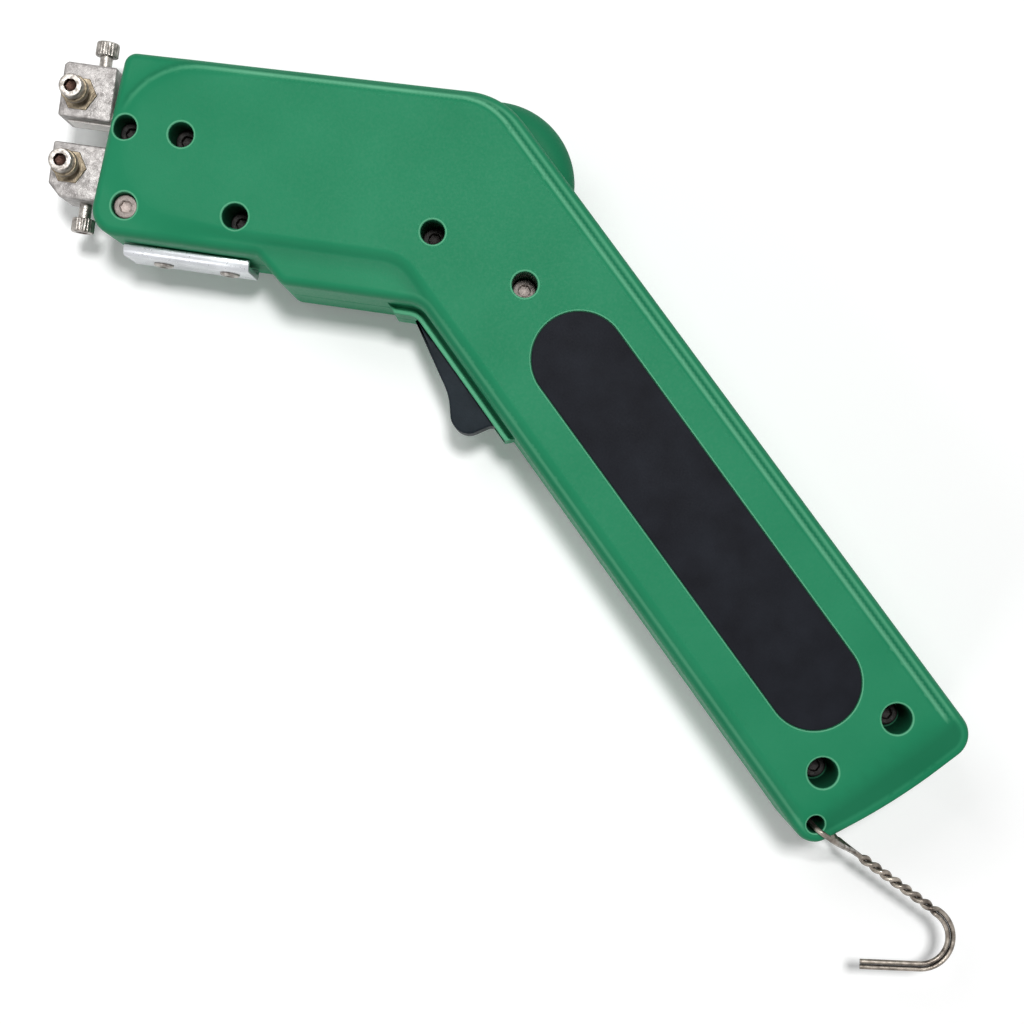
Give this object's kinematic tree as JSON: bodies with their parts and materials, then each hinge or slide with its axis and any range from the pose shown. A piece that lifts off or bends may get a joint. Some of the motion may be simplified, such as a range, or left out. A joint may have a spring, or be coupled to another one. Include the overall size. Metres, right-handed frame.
{
  "type": "electric hot knife",
  "caption": "Pistol-shaped electric hot knife: two-half green housing, front blade clamps, guide rail, trigger switch and a swinging wire hanging hook.",
  "frame": {"origin": "where the blade axis crosses the handle axis, on the flat land of the far side face that the tool lies on", "axes": "+Z out of the rest face through the housing to the near side, +X along the blade axis from the nose towards the handle, +Y towards the top of the head"},
  "size_m": [0.2397, 0.1954, 0.042],
  "materials": {
    "housing_green": "moulded green plastic, fine satin texture",
    "label_black": "satin black foil, bare",
    "steel_dark": "blackened screw steel",
    "steel_bright": "bright zinc plate",
    "nickel": "nickel-plated, tumbled",
    "brass": "plain brass",
    "copper": "bare copper",
    "insulator": "moulded phenolic, pale",
    "laminations": "varnished laminations",
    "bobbin": "natural nylon",
    "trigger_black": "blue-black plastic",
    "switch_black": "black phenolic",
    "plunger_red": "red plastic",
    "lead_brown": "brown insulation",
    "lead_blue": "blue insulation",
    "terminal_white": "white nylon",
    "rubber_black": "black rubber",
    "rail": "bright bent sheet",
    "hook_wire": "drawn steel wire"
  },
  "bodies": {
    "housing": {"near_shell": "housing_green", "far_shell": "housing_green", "shell_screws": "steel_dark", "label_plate": "label_black", "front_insulator": "insulator", "secondary_bar": "copper", "upper_clamp": "nickel", "lower_clamp": "nickel", "clamp_end_screws": "steel_bright", "transformer_core": "laminations", "core_bolts": "steel_bright", "near_bobbin": "bobbin", "far_bobbin": "bobbin", "near_winding": "copper", "far_winding": "copper", "thermal_fuse": "terminal_white", "trigger_pin": "steel_bright", "trigger_spring": "steel_bright", "switch_body": "switch_black", "switch_terminals": "brass", "live_lead": "lead_brown", "switch_lead": "lead_brown", "neutral_lead": "lead_blue", "terminal_block": "terminal_white", "terminal_screws": "brass", "terminal_block_screw": "steel_bright", "cord_gland": "rubber_black", "cord_clamp": "switch_black", "cord_clamp_screws": "steel_bright", "guide_rail": "rail", "rail_screws": "steel_bright", "rail_bushes": "brass"},
    "trigger": {"trigger": "trigger_black"},
    "plunger": {"switch_plunger": "plunger_red"},
    "hook": {"hanging_hook": "hook_wire"},
    "upper_washer": {"upper_clamp_washer": "brass"},
    "upper_screw": {"upper_blade_screw": "steel_bright"},
    "lower_washer": {"lower_clamp_washer": "brass"},
    "lower_screw": {"lower_blade_screw": "steel_bright"}
  },
  "joints": [
    {"name": "trigger_pull", "type": "hinge", "parent": "housing", "child": "trigger", "pos_m": [0.00969, -0.03235, 0.021], "axis": [0, 0, 1], "range_deg": [0, 10], "stiffness_Nm_per_rad": 0.35, "springref_deg": -17.19, "deforming": ["trigger_spring"]},
    {"name": "plunger_press", "type": "slide", "parent": "housing", "child": "plunger", "axis": [0.7193, 0.6947, 0], "range_m": [0, 0.0028]},
    {"name": "hook_swing", "type": "hinge", "parent": "housing", "child": "hook", "pos_m": [0.10591, -0.13725, 0.021], "axis": [0, 0, 1], "range_deg": [-56, 12]},
    {"name": "upper_washer_lift", "type": "slide", "parent": "housing", "child": "upper_washer", "axis": [0, 0, 1], "range_m": [-0.0035, 0]},
    {"name": "upper_screw_turn", "type": "hinge", "parent": "upper_washer", "child": "upper_screw", "pos_m": [-0.0884, 0.0087, 0.028], "axis": [0, 0, 1], "range_deg": [-2520, 0]},
    {"name": "lower_washer_lift", "type": "slide", "parent": "housing", "child": "lower_washer", "axis": [0, 0, 1], "range_m": [-0.0035, 0]},
    {"name": "lower_screw_turn", "type": "hinge", "parent": "lower_washer", "child": "lower_screw", "pos_m": [-0.0884, -0.0087, 0.028], "axis": [0, 0, 1], "range_deg": [-2520, 0]}
  ],
  "couplings": [
    {"joint": "plunger_press", "follows": "trigger_pull", "m_per_rad": 0.016043},
    {"joint": "upper_screw_turn", "follows": "upper_washer_lift", "rad_per_m": 12566},
    {"joint": "lower_screw_turn", "follows": "lower_washer_lift", "rad_per_m": 12566}
  ]
}
